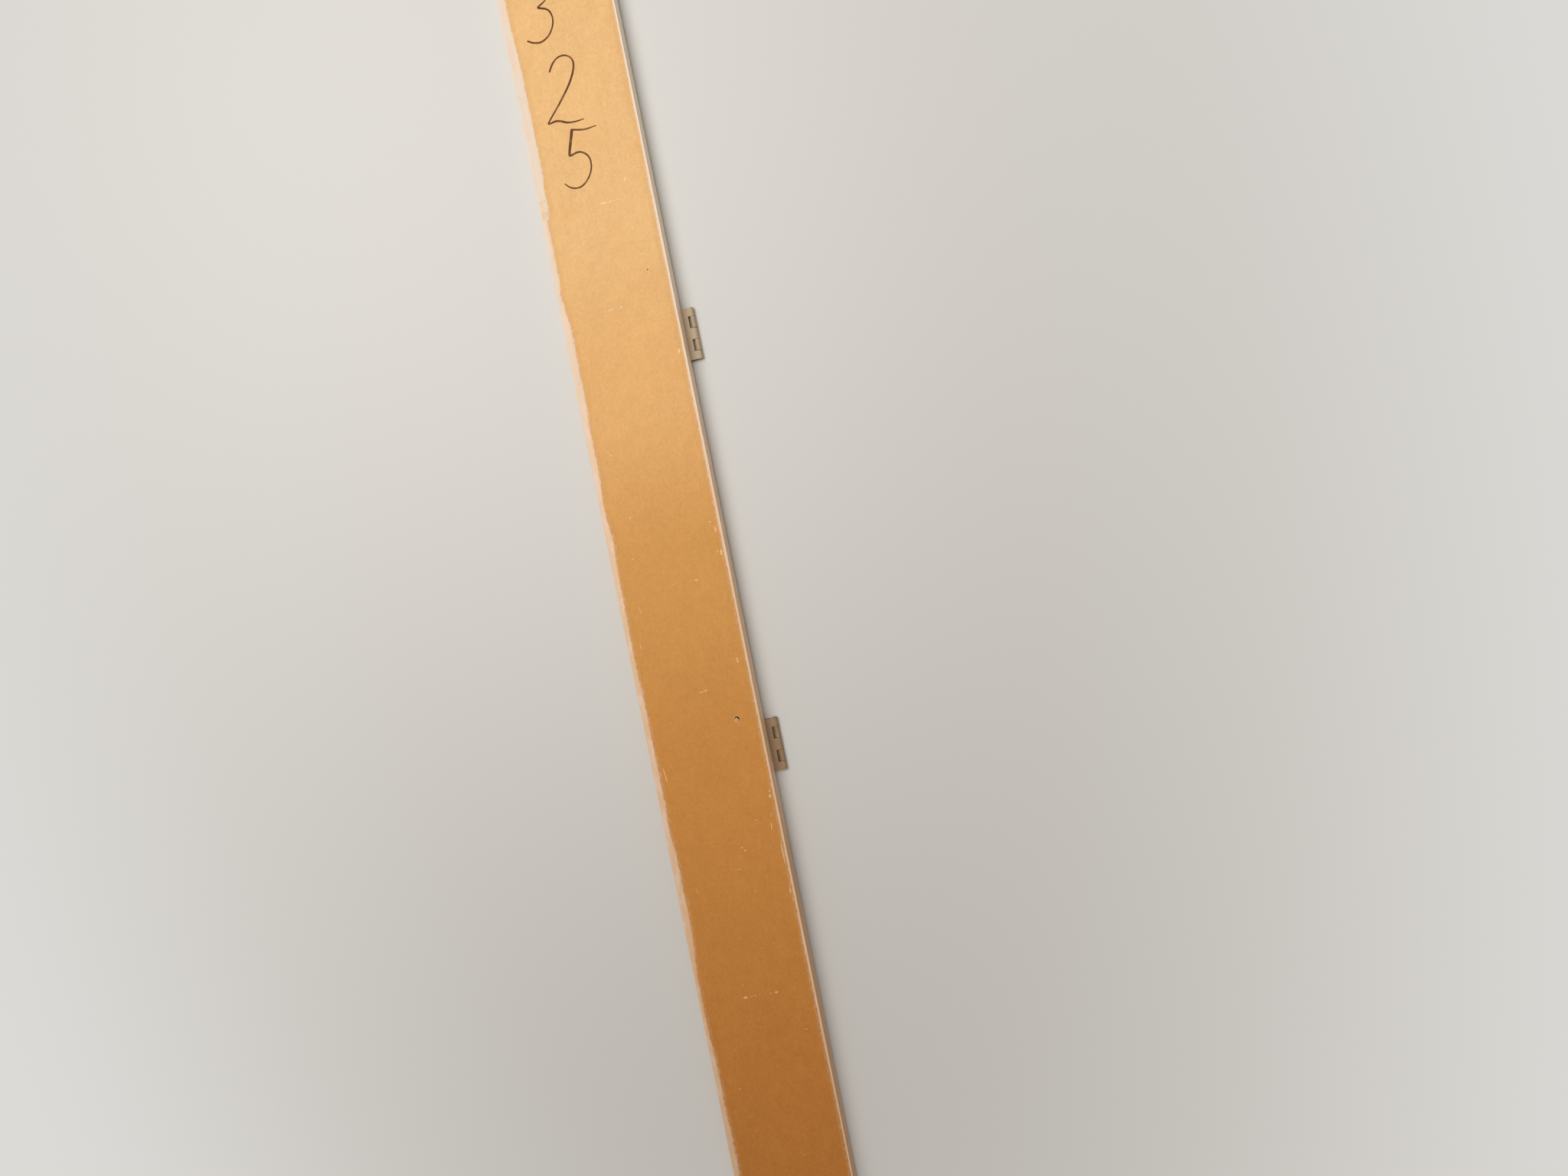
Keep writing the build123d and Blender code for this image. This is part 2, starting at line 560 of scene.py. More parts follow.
def fibres(finish, place, kinds):
    """Thin fibres that lie several ways, 1 on a fibre."""
    lying = []
    for length, width, turn, least in kinds:
        level = finish.noise(place, (length, width, width), detail=1.0, distortion=0.35, turn=turn)
        lying.append(level.past(least, least + fibre_softness))
    return reduce(Reading.most, lying)


def raw_fibreboard(finish, place, along, sizes):
    """Colour and height of sanded fibreboard: broad mottling, grain, and fibres each way."""
    cloud = finish.noise(place, (34.0, 60.0, 34.0), detail=3.0, roughness=0.6)
    blotch = finish.noise(place, (9.0, 13.0, 9.0), detail=3.0, roughness=0.65)
    flock = finish.noise(place, (2.6, 3.6, 2.6), roughness=0.6)
    grain = finish.noise(place, (0.9, 1.3, 0.9), detail=3.0, roughness=0.7)
    sanding = finish.noise(place, (0.7, 90.0, 0.7))
    chatter = finish.noise(place, (160.0, 2.2, 160.0))
    warm = finish.noise(place, (22.0, 22.0, 22.0)).past(0.5, 0.75)
    dark = fibres(finish, place, dark_fibres)
    pale = fibres(finish, place, pale_fibres)
    level = 1 + cloud.swing(0.12) + blotch.swing(0.17) + flock.swing(0.22)
    level = level + grain.swing(0.32) + sanding.swing(0.07) + chatter.swing(0.05)
    colour = finish.shade(board_tone_and_light_falloff(finish, along, sizes), level)
    colour = finish.mix(warm * 0.14, colour, sizes.warm_tan)
    colour = finish.mix(dark * 0.22, colour, sizes.fibre_dark)
    colour = finish.mix(pale * 0.22, colour, sizes.fibre_pale)
    height = grain * 0.5 + sanding * 0.3 + chatter * 0.2 + pale * 0.35 - dark * 0.2
    return colour, height


def brushed_paint(finish, place, along, sizes):
    """Colour and height of brushed satin paint, with its strokes along the board."""
    strokes = finish.noise(place, (0.55, 75.0, 0.55), detail=3.0, roughness=0.6)
    streaks = finish.noise(place, (1.7, 55.0, 1.7), detail=3.0, roughness=0.6)
    ridges = finish.noise(place, (2.2, 240.0, 2.2))
    stipple = finish.noise(place, (0.8, 1.5, 0.8))
    soil = finish.noise(place, (11.0, 26.0, 11.0), detail=4.0, roughness=0.65).past(0.52, 0.8)
    pink = finish.noise(place, (5.0, 17.0, 5.0)).past(0.45, 0.7)
    # Paint deepens towards the foot as painted falloff of light
    colour = finish.mix(toward_head(along), sizes.shaded_foot_paint, sizes.paint)
    colour = finish.mix(pink * 0.75, colour, sizes.paint_blush)
    colour = finish.shade(colour, 1 + strokes.swing(0.1) + streaks.swing(0.12) + ridges.swing(0.05))
    colour = finish.mix(soil * 0.22, colour, sizes.paint_soil)
    height = strokes * 0.6 + ridges * 0.5 + stipple * 0.2
    return colour, height


def lap_width(widths, height):
    """Width of a lap at a height above the foot end, from its list."""
    for (low, start), (high, end) in zip(widths, widths[1:]):
        if low <= height <= high:
            return start + (end - start) * (height - low) / (high - low)
    return widths[-1][1]


def lap_reading(nodes, widths, along):
    """The same width as a reading over the board."""
    stops = [(height / (2 * HALF_LENGTH), width / ramp_width) for height, width in widths]
    share = (along + HALF_LENGTH) / (2 * HALF_LENGTH)
    return nodes.node("ValToRGB", {"stops": stops}, {"Fac": share}) * ramp_width


def lap_reach(finish, across, along):
    """1 on the far lap's side of the board and 0 on the near lap's, and the lap's width there."""
    far_side = across.before(-0.5, 0.5)
    far_width = lap_reading(finish, far_lap_widths, along) * far_side
    near_width = lap_reading(finish, near_lap_widths, along) * (1 - far_side)
    return far_side, far_width + near_width


def thin_patch(finish, place, along):
    """Where the far lap's paint is so thin that the board shows through."""
    middle = thin_paint_height - HALF_LENGTH
    near = abs(along - middle).before(thin_paint_reach * 0.55, thin_paint_reach * 1.15)
    patches = finish.noise(place, (3.2, 7.0, 3.2), roughness=0.6)
    return near * patches.past(0.36, 0.6)


def nail_chip(finish, across, along):
    """1 within the chip that the pulled nail left in the back."""
    aside = across - nail_across
    onward = along - (nail_height - HALF_LENGTH)
    away = finish.maths("SQRT", aside * aside + onward * onward)
    return away.before(nail_chip_radius * 1.05, nail_chip_radius * 1.1)


def torn_chip(finish, place, depth, sizes):
    """Colour of the nail's chip: torn fibres at its rim, and within it a dark colour for crushed, dirty
    fibres and painted shade in the hole.
    """
    torn = finish.noise(place, (0.5, 0.5, 0.5))
    chip = finish.mix(torn, sizes.burst, sizes.fibre_dark)
    # Dark within the chip: crushed, dirty fibres and painted shade
    return finish.mix(depth.past(0.02, 0.2), chip, sizes.hollow_shade_and_dirt)


def cut_end(finish, place, skin, sizes):
    """Colour of a cut end: dark dense skins, a paler core and the saw's lines across the thickness."""
    teeth = finish.noise(place, (0.35, 1.0, 14.0), detail=3.0)
    core = finish.mix(skin * 0.55, sizes.core, sizes.fibre_dark)
    return finish.shade(core, 1 + teeth.swing(0.35))


def edge_paint(finish, paint, along, depth, far_side, sizes):
    """The edges' paint: by the hinges it has painted shade on the edge and arris towards the foot, and a
    painted highlight towards the head.
    """
    by_hinges = depth.past(1.0, 3.0) * (1 - far_side) * 0.6
    low_shade = 1 - risen(along, *edge_shade_heights)
    on_arris = depth.before(1.0, 3.0) * arris_shade(along, far_side) * 0.8
    # Painted shade low down on the edge and arris by the hinges
    paint = finish.mix(by_hinges * low_shade + on_arris, paint, sizes.edge_shade_paint)
    # A painted highlight on the edge by the hinges, stronger towards the head
    return finish.mix(by_hinges * (0.2 + toward_head(along) * 0.9), paint, sizes.painted_highlight)


def board_material(sizes):
    """The board: raw back and ends, painted edges and front."""
    finish = Finish("jamb_board")
    place = finish.board_place()
    across, along, up = finish.axes(place)
    raw, raw_height = raw_fibreboard(finish, place, along, sizes)
    paint, paint_height = brushed_paint(finish, place, along, sizes)
    inward = HALF_WIDTH - abs(across)
    depth = THICK - up
    far_side, reach = lap_reach(finish, across, along)
    paint = edge_paint(finish, paint, along, depth, far_side, sizes)
    # Paint covers everything below the back's flat, apart from the nail's chip and the cut ends
    ragged = finish.noise(place, (0.8, 3.0, 0.8), detail=3.0)
    in_nail = nail_chip(finish, across, along)
    painted = (depth + ragged.swing(0.03)).past(0.012, 0.03) * (1 - in_nail)
    # Thin paint and a greasy line that crept past each lap
    beyond = inward - reach
    wisps = finish.noise(place, (1.1, 5.5, 1.1), detail=4.0, roughness=0.7)
    haze = beyond.before(0.2, 3.6) * wisps.past(0.42, 0.7)
    raw = finish.mix(beyond.before(1.0, 6.5) * 0.22, raw, sizes.stain)
    raw = finish.mix(haze * 0.55, raw, sizes.paint_blush)
    # The faces' paint crept a little over the cut ends
    sawn = (HALF_LENGTH - abs(along)).before(0.02, 0.06)
    from_face = depth.least(up)
    raw = finish.mix(sawn, raw, cut_end(finish, place, from_face.before(1.0, 4.0), sizes))
    creep = from_face.least(inward).before(0.25, 0.8) * wisps.past(0.4, 0.5)
    painted = painted * (1 - sawn) + sawn * creep * 0.8
    raw = finish.mix(in_nail, raw, torn_chip(finish, place, depth, sizes))
    raw_relief = finish.bump(raw_height * (1 - painted), 0.05)
    return finish.wear(
        base_color=finish.mix(painted, raw, paint),
        roughness=(1 - painted) * raw_roughness + painted * paint_roughness,
        normal=finish.bump(paint_height * painted, 0.06, raw_relief),
        specular_ior_level=0.25,
    )


def lap_material(sizes):
    """Paint on the back: the edge's paint, thin in one patch and along its inner rim."""
    finish = Finish("lapped_paint")
    place = finish.board_place()
    across, along = finish.axes(place)[:2]
    raw, raw_height = raw_fibreboard(finish, place, along, sizes)
    paint, paint_height = brushed_paint(finish, place, along, sizes)
    inward = HALF_WIDTH - abs(across)
    far_side, reach = lap_reach(finish, across, along)
    low_shade = arris_shade(along, far_side)
    # Bare board shows along the rim, more of it on the far lap, and in the far lap's thin patch
    rim = finish.noise(place, (1.5, 6.0, 1.5), detail=3.0, roughness=0.7)
    by_rim = (inward - reach).past(-0.9 - far_side * 1.1, 0.6)
    worn = by_rim * (rim.past(0.35, 0.7) * 0.7 + 0.25)
    thin = thin_patch(finish, place, along) * far_side * inward.past(1.0, 2.4)
    bare = thin.most(worn)
    # The near lap is the thinner coat
    colour = finish.mix(bare * 0.8 + (1 - far_side) * (1 - bare) * 0.2, paint, raw)
    colour = finish.mix(thin * 0.1, colour, sizes.paint_soil)
    # Over the arris a painted highlight, stronger towards the head, and low down by the hinges painted shade
    arris_highlight = (inward - low_shade * 1.1).before(0.7, 1.9) * (0.4 + toward_head(along) * 0.35)
    colour = finish.mix(arris_highlight * (1 - far_side * 0.8), colour, sizes.painted_highlight)
    colour = finish.mix(inward.before(0.8, 1.8) * low_shade * 0.8, colour, sizes.edge_shade_paint)
    height = paint_height * (1 - bare) + raw_height * bare * 0.5
    return finish.wear(
        base_color=colour,
        roughness=paint_roughness + bare * 0.18,
        normal=finish.bump(height, 0.06),
        specular_ior_level=0.35,
    )


def ink_material(sizes):
    """Marker ink soaked into the board, paler where the hand went fast."""
    finish = Finish("marker_ink")
    place = finish.board_place()
    pale = finish.noise(place, (9.0, 9.0, 9.0)).past(0.46, 0.68)
    grain = finish.noise(place, (0.8, 0.8, 0.8))
    colour = finish.mix(pale * 0.75, sizes.ink, sizes.ink_thin)
    return finish.wear(
        base_color=finish.shade(colour, 1 + grain.swing(0.3)),
        roughness=0.5 + grain * 0.2,
        normal=finish.bump(grain, 0.02),
        specular_ior_level=0.3,
    )


def fleck_material(name, at_foot, at_head):
    """Torn fibre, splashed paint or dirt: a colour near each end, and a fine grain. For scuffs and paint
    streaks the deeper foot colour is painted falloff of light.
    """
    finish = Finish(name)
    place = finish.board_place()
    along = finish.axes(place)[1]
    cloud = finish.noise(place, (1.6, 1.6, 1.6))
    grain = finish.noise(place, (0.4, 0.4, 0.4))
    colour = finish.mix(toward_head(along), at_foot, at_head)
    return finish.wear(
        base_color=finish.shade(colour, 1 + cloud.swing(0.3)),
        roughness=0.55 + grain * 0.25,
        normal=finish.bump(grain, 0.03),
        specular_ior_level=0.3,
    )


def painted_steel(name, pin, coat, joint_shade_share, sizes):
    """Paint over a hinge, its coat darkened as painted shade: brush marks, soil, rubbed spots, painted shade
    in its joints, and bare steel between its leaves, dark also as painted shade in the slots.
    """
    finish = Finish(name)
    place = finish.measured(finish.place, (MM, MM, MM), pin)
    across, along, up = finish.axes(place)
    strokes = finish.noise(place, (0.6, 14.0, 0.6), detail=3.0, roughness=0.6)
    stipple = finish.noise(place, (1.3, 1.8, 1.3), detail=3.0)
    soil = finish.noise(place, (4.0, 6.0, 4.0), detail=4.0, roughness=0.65).past(0.5, 0.78)
    rubbed = finish.noise(place, (1.8, 2.4, 1.8), detail=4.0, roughness=0.7).past(0.6, 0.72)
    # The coat's colour is darkened as painted shade
    colour = finish.shade(coat, 1 + strokes.swing(0.12))
    colour = finish.mix(soil * 0.4, colour, sizes.paint_soil)
    colour = finish.mix(rubbed * 0.45, colour, sizes.rubbed)
    # No brush reached the faces that the leaves turn to each other, except at their edges. They lie
    # 1.35 from the pin's middle, beside knuckles that reach 2.75 from it
    between = abs(up).before(1.38, 1.5) * across.before(-2.95, -2.8)
    bare = between * (0.95 - soil * 0.3)
    # The bare steel is dark also as painted shade in the slots between the leaves
    colour = finish.mix(bare, colour, sizes.bare_steel_and_slot_shade)
    # Painted shade in the joints at the foot ends of the door leaf's two knuckles
    from_joint = abs(abs(along + inner_knuckle / 2) - inner_knuckle)
    dirt = from_joint.before(0.15, 0.6) * across.past(-3.2, -2.6) * joint_shade_share
    colour = finish.mix(dirt, colour, sizes.joint_shade)
    height = strokes * 0.5 + stipple * 0.5 - rubbed * 0.4
    return finish.wear(
        base_color=colour,
        metallic=bare * 0.7,
        roughness=0.4 + soil * 0.15 - rubbed * 0.05 + bare * 0.1,
        normal=finish.bump(height, 0.08),
    )


def finish_piece(name, mesh, material):
    """Place a mesh made in the board's frame, in millimetres, and make it ride with the board."""
    bmesh.ops.recalc_face_normals(mesh, faces=mesh.faces)
    bmesh.ops.transform(mesh, matrix=BOARD @ Matrix.Scale(MM, 4), verts=mesh.verts)
    data = bpy.data.meshes.new(name)
    mesh.to_mesh(data)
    mesh.free()
    data.materials.append(material)
    piece = bpy.data.objects.new(name, data)
    bpy.context.scene.collection.objects.link(piece)
    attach(piece, "jamb")
    return piece


def ripple(along, side, length, layer):
    """Smooth noise along a lap's rim, with waves of a length; each side and layer has its own."""
    return noise.noise(Vector((along / length, side * 9.0, layer)))


def rough_edge(along, side, raggedness):
    """How far the lap's inner rim strays at a place: waves, scallops, steps and short wisps."""
    wave = ripple(along, side, 42, 1.0)
    scallop = ripple(along, side, 9, 5.0)
    nibble = ripple(along, side, 3.1, 11.0)
    tooth = ripple(along, side, 1.3, 17.0)
    # The brush widened the lap little by little towards the foot, then was set back with a step
    travel = -along / 17 + 1.4 * ripple(along, side, 33, 37.0)
    step = (travel % 1.0) ** 2 * (0.5 + ripple(along, side, 51, 41.0))
    wisp = max(0.0, ripple(along, side, 1.9, 23.0) - 0.32)
    gust = max(0.0, ripple(along, side, 70, 29.0) + 0.1)
    stray = 0.6 * wave + 0.95 * scallop + 1.0 * nibble + 0.4 * tooth + 0.9 * step - 0.2
    return raggedness * (stray + 3.0 * wisp * gust)


def paint_lap(name, side, widths, sizes, material):
    """A film of paint on the back along one edge, from round its arris to a ragged rim."""
    mesh = bmesh.new()
    bmesh.ops.create_grid(mesh, x_segments=5, y_segments=sizes.lap_steps, size=0.5)
    film = bmesh.ops.extrude_face_region(mesh, geom=mesh.faces[:])
    raised = {item for item in film["geom"] if isinstance(item, bmesh.types.BMVert)}
    start = BACK_ARRIS * 0.5
    for vert in mesh.verts:
        share = vert.co.x + 0.5
        along = vert.co.y * 2 * (HALF_LENGTH - lap_end_gap)
        reach = lap_width(widths, along + HALF_LENGTH)
        # A narrow lap strays less
        reach += rough_edge(along, side, sizes.raggedness * min(1.0, reach / 4.0))
        reach = max(reach, BACK_ARRIS + lap_least_reach)
        inward = start + (reach - start) * share
        top = THICK
        if inward < BACK_ARRIS:
            fall = BACK_ARRIS - inward
            top = THICK - BACK_ARRIS + (BACK_ARRIS**2 - fall**2) ** 0.5
        film_height = sizes.film if share < rim_start else sizes.film * rim_film
        swell = 1 + 0.35 * noise.noise(Vector((inward / 1.6, along / 26, side * 3.0)))
        vert.co.x = side * (HALF_WIDTH - inward)
        vert.co.y = along
        vert.co.z = top + (film_height * swell if vert in raised else -film_foot)
    return finish_piece(name, mesh, material)


def flat_flecks(name, marks, rise, material, dice):
    """Low flecks on the back: a chamfered disc each, drawn out, turned and with a torn outline."""
    mesh = bmesh.new()
    for across, height, length, width, turn in marks:
        made = bmesh.ops.create_cone(
            mesh,
            cap_ends=True,
            cap_tris=False,
            segments=fleck_corners,
            radius1=0.5,
            radius2=fleck_top,
            depth=1.0,
        )
        strays = [1 + dice.uniform(*fleck_strays) for corner in range(fleck_corners)]
        for vert in made["verts"]:
            corner = round(atan2(vert.co.y, vert.co.x) / (2 * pi) * fleck_corners)
            stray = strays[corner % fleck_corners]
            vert.co.x *= stray
            vert.co.y *= stray
        size = Matrix.Diagonal((length, width, rise, 1.0))
        spot = Matrix.Translation((across, height - HALF_LENGTH, THICK + rise * fleck_lift))
        turned = Matrix.Rotation(radians(turn), 4, "Z")
        bmesh.ops.transform(mesh, matrix=spot @ turned @ size, verts=made["verts"])
    return finish_piece(name, mesh, material)


def stroke_mesh(mesh, stroke, spot, rise):
    """Add one pen stroke to a mesh: a round line, flattened onto the board."""
    curve = bpy.data.curves.new("stroke", "CURVE")
    curve.dimensions = "3D"
    curve.bevel_depth = 1.0
    curve.bevel_resolution = 2
    curve.resolution_u = 8
    curve.use_fill_caps = True
    spline = curve.splines.new("NURBS")
    spline.points.add(len(stroke) - 1)
    for point, (right, up, half_width) in zip(spline.points, stroke):
        point.co = (right, up, 0.0, 1.0)
        point.radius = half_width
    spline.order_u = 3
    spline.use_endpoint_u = True
    holder = bpy.data.objects.new("stroke", curve)
    bpy.context.scene.collection.objects.link(holder)
    whole = holder.evaluated_get(bpy.context.evaluated_depsgraph_get())
    drawn = bpy.data.meshes.new_from_object(whole)
    before = len(mesh.verts)
    mesh.from_mesh(drawn)
    mesh.verts.ensure_lookup_table()
    fresh = mesh.verts[before:]
    for vert in fresh:
        vert.co.z = max(vert.co.z * rise, -stroke_foot)
    bmesh.ops.transform(mesh, matrix=spot, verts=fresh)
    bpy.data.objects.remove(holder)
    bpy.data.meshes.remove(drawn)
    bpy.data.curves.remove(curve)


def torn_rim(dice):
    """The rim that the pulled nail tore up round its chip, as a mesh about the hole's axis."""
    mesh = bmesh.new()
    section = [mesh.verts.new((nail_chip_radius + reach, 0.0, rise)) for reach, rise in rim_section]
    edges = [mesh.edges.new(ends) for ends in zip(section, section[1:] + section[:1])]
    bmesh.ops.spin(
        mesh,
        geom=section + edges,
        cent=(0.0, 0.0, 0.0),
        axis=(0.0, 0.0, 1.0),
        angle=2 * pi,
        steps=rim_steps,
        use_merge=True,
    )
    for vert in mesh.verts:
        level = Vector((vert.co.x, vert.co.y, 0.0))
        outward = level.normalized()
        reach = level.length - nail_chip_radius
        rise = vert.co.z
        spread = outward * 2.2 + Vector((0.0, 0.0, reach * 3))
        torn = noise.noise(spread) + 0.6 * noise.noise(spread * 2.7)
        out = nail_chip_radius + reach + max(reach, 0.0) * torn * 1.3
        up = rise * (1 + 1.6 * torn) + (dice.uniform(-0.03, 0.05) if rise > 0 else 0.0)
        vert.co = outward * out + Vector((0.0, 0.0, up))
    return mesh


def torn_plug():
    """The plug of fibre in the nail's hole, as a lumpy ball of radius 1."""
    mesh = bmesh.new()
    bmesh.ops.create_uvsphere(mesh, u_segments=36, v_segments=18, radius=1.0)
    for vert in mesh.verts:
        torn = noise.noise(vert.co * 2.1) + 0.6 * noise.noise(vert.co * 5.3)
        vert.co *= 1 + 0.22 * torn
    return mesh


def burst_nail_hole(material, dice):
    """The torn rim round the chip that the pulled nail left in the back, and the plug in it."""
    spot = Matrix.Translation((nail_across, nail_height - HALF_LENGTH, THICK))
    rim = torn_rim(dice)
    bmesh.ops.transform(rim, matrix=spot, verts=rim.verts)
    finish_piece("nail_hole_rim", rim, material)
    plug = torn_plug()
    place = spot @ Matrix.Translation(plug_middle)
    size = Matrix.Diagonal((*plug_half_size, 1.0))
    bmesh.ops.transform(plug, matrix=place @ size, verts=plug.verts)
    finish_piece("nail_hole_plug", plug, material)


def dress(node, material):
    """Give a CAD node its material."""
    data = frame["nodes"][node].data
    data.materials.clear()
    data.materials.append(material)


def colour_property(name, description, default):
    """A colour that the panel shows."""
    return FloatVectorProperty(
        name=name,
        description=description,
        default=default,
        subtype="COLOR",
        size=3,
        min=0.0,
        max=1.0,
    )


class JambSizes(PropertyGroup):
    """Sizes and colours of the board, its paint and its marks."""

    # The board's tones, paler at the head and deeper at the foot, are painted falloff of light and sheen
    head_tan: colour_property("Board at head", "Raw board towards the head end", tint(228, 182, 123))
    high_tan: colour_property("Board above middle", "Raw board below the head", tint(225, 172, 108))
    middle_tan: colour_property("Board at middle", "Raw board in the middle", tint(210, 150, 78))
    low_tan: colour_property("Board below middle", "Raw board above the foot", tint(203, 137, 64))
    foot_tan: colour_property("Board at foot", "Raw board towards the foot end", tint(195, 125, 54))
    warm_tan: colour_property("Warm patches", "Warmer patches of the raw board", tint(216, 150, 80))
    fibre_dark: colour_property("Dark fibres", "Darker fibres in the board", tint(150, 98, 52))
    fibre_pale: colour_property("Pale fibres", "Paler fibres in the board", tint(236, 200, 150))
    core: colour_property("Core", "Looser middle of the board", tint(198, 156, 108))
    stain: colour_property("Stain", "Board beside the paint", tint(196, 138, 66))
    paint: colour_property("Paint", "Brushed paint towards the head end", tint(226, 208, 188))
    # The paint's deeper foot colour is painted falloff of light
    shaded_foot_paint: colour_property("Aged paint", "Brushed paint towards the foot end", tint(223, 184, 145))
    # A painted highlight on the arrises, where they catch the light
    painted_highlight: colour_property(
        "Edge paint",
        "Thicker paint over the back's arrises",
        tint(250, 234, 206),
    )
    paint_blush: colour_property("Paint blush", "Pinker parts of the paint", tint(231, 200, 178))
    paint_soil: colour_property("Soiled paint", "Handled and dusty paint", tint(178, 160, 134))
    # Painted shade low on the edge by the hinges
    edge_shade_paint: colour_property("Grimy paint", "Brown dirt low on the edge", tint(177, 127, 76))
    # Scuffs are deeper at the foot than at the head as painted falloff of light
    torn_head: colour_property("Torn board at head", "Scuffs towards the head end", tint(243, 207, 160))
    torn_foot: colour_property("Torn board at foot", "Scuffs towards the foot end", tint(234, 188, 132))
    rubbed_head: colour_property(
        "Rubbed board at head",
        "Faint scuffs towards the head end",
        tint(234, 193, 140),
    )
    rubbed_foot: colour_property(
        "Rubbed board at foot",
        "Faint scuffs towards the foot end",
        tint(210, 150, 86),
    )
    burst: colour_property("Burst fibre", "Fibre burst out by the nail", tint(206, 160, 112))
    # Painted shade in the nail's hole, with crushed, dirty fibres
    hollow_shade_and_dirt: colour_property("Hollow", "Inside the nail's hole", tint(74, 38, 10))
    ink: colour_property("Ink", "Marker ink where the pen went slowly", tint(88, 48, 18))
    ink_thin: colour_property("Thin ink", "Marker ink where the pen was fast", tint(142, 92, 44))
    # Both hinges' paint is darkened as painted shade, the lower hinge more
    upper_coat_in_shade: colour_property("Upper hinge paint", "Paint over the upper hinge", tint(168, 144, 112))
    lower_coat_in_shade: colour_property("Lower hinge paint", "Paint over the lower hinge", tint(147, 116, 82))
    # Bare steel, darkened also as painted shade in the slots between the leaves
    bare_steel_and_slot_shade: colour_property("Bare steel", "Dull steel between the leaves", tint(118, 104, 84))
    # Painted shade in the joints between the knuckles
    joint_shade: colour_property("Grime", "Dirt in the joints between the knuckles", tint(72, 56, 38))
    rubbed: colour_property(
        "Rubbed paint",
        "Hinge paint that is nearly worn through",
        tint(146, 132, 114),
    )
    film: FloatProperty(
        name="Paint film",
        description="Thickness of the lapped paint in mm",
        default=0.14,
    )
    raggedness: FloatProperty(
        name="Raggedness",
        description="How far the rim of a lap strays, in mm",
        default=0.9,
    )
    lap_steps: IntProperty(name="Lap steps", description="Steps along a lap's rim", default=2600)
    fleck_rise: FloatProperty(name="Fleck rise", description="Height of a fleck in mm", default=0.06)
    ink_rise: FloatProperty(name="Ink rise", description="Flatness of a pen stroke", default=0.03)


class JambStage(PropertyGroup):
    """Floor, lights and camera."""

    floor: colour_property("Floor", "Colour of the floor", tint(214, 212, 208))
    backdrop: colour_property("Backdrop", "Colour behind the floor", tint(220, 218, 214))
    fill: FloatProperty(name="Fill", description="Level of the light from all round", default=0.34)
    fill_tint: colour_property("Fill tint", "Warmth of the light from all round", (1.0, 0.89, 0.76))
    key_power: FloatProperty(
        name="Key power",
        description="Power of the main light",
        default=24.4,
        unit="POWER",
    )
    key_tint: colour_property("Key tint", "Coolness of the main light", (0.96, 0.98, 1.0))
    key_size: FloatProperty(
        name="Key size",
        description="Side of the main light",
        default=1.23,
        unit="LENGTH",
    )
    key_place: FloatVectorProperty(
        name="Key place",
        description="Where the main light hangs",
        default=(-0.3, 0.1, 1.55),
        subtype="XYZ",
        unit="LENGTH",
    )
    camera_place: FloatVectorProperty(
        name="Camera place",
        description="Where the camera stands",
        default=(0.18548, -0.45122, 0.81754),
        subtype="XYZ",
        unit="LENGTH",
    )
    camera_turn: FloatVectorProperty(
        name="Camera turn",
        description="How the camera is turned from looking straight down",
        default=(radians(-0.2981), radians(6.3014), radians(-11.6599)),
        subtype="EULER",
        unit="ROTATION",
    )
    lens: FloatProperty(name="Lens", description="Focal length in mm on a 36 mm sensor", default=19.32)


class JAMB_OT_board(Operator):
    """Finish the board: raw back and ends, painted edges and front"""

    bl_idname = "jamb.board"
    bl_label = "Board"

    def execute(self, context):
        dress("jamb_leg", board_material(context.scene.jamb_sizes))
        return {"FINISHED"}


class JAMB_OT_laps(Operator):
    """Add the paint that lapped onto the back along both edges"""

    bl_idname = "jamb.laps"
    bl_label = "Paint laps"

    def execute(self, context):
        sizes = context.scene.jamb_sizes
        material = lap_material(sizes)
        paint_lap("far_paint_lap", -1, far_lap_widths, sizes, material)
        paint_lap("near_paint_lap", 1, near_lap_widths, sizes, material)
        dice = random.Random(SEED)
        # The streaks deepen towards the foot as painted falloff of light
        streaks = fleck_material("streaked_paint", sizes.shaded_foot_paint, sizes.paint_blush)
        flat_flecks("paint_streaks", paint_streaks, sizes.fleck_rise, streaks, dice)
        return {"FINISHED"}


class JAMB_OT_figures(Operator):
    """Draw the plain figures on the back with a marker"""

    bl_idname = "jamb.figures"
    bl_label = "Figures"

    def execute(self, context):
        sizes = context.scene.jamb_sizes
        mesh = bmesh.new()
        for strokes, across, height in figures:
            spot = Matrix.Translation((across, height - HALF_LENGTH, THICK))
            spot = spot @ Matrix.Rotation(radians(figure_slant), 4, "Z")
            for stroke in strokes:
                stroke_mesh(mesh, stroke, spot, sizes.ink_rise)
        finish_piece("marker_figures", mesh, ink_material(sizes))
        return {"FINISHED"}


class JAMB_OT_marks(Operator):
    """Add the scuffs, flecks and specks on the back, and the torn rim round the nail's hole"""

    bl_idname = "jamb.marks"
    bl_label = "Marks"

    def execute(self, context):
        sizes = context.scene.jamb_sizes
        dice = random.Random(SEED + 1)
        torn = fleck_material("torn_fibre", sizes.torn_foot, sizes.torn_head)
        flat_flecks("scuffs", pale_marks, sizes.fleck_rise, torn, dice)
        rubbed = fleck_material("rubbed_fibre", sizes.rubbed_foot, sizes.rubbed_head)
        flat_flecks("faint_scuffs", faint_marks, sizes.fleck_rise, rubbed, dice)
        dirt = fleck_material("dirt", sizes.fibre_dark, sizes.ink)
        flat_flecks("dark_specks", dark_specks, sizes.fleck_rise, dirt, dice)
        burst_nail_hole(fleck_material("burst_fibre", sizes.burst, sizes.burst), dice)
        return {"FINISHED"}


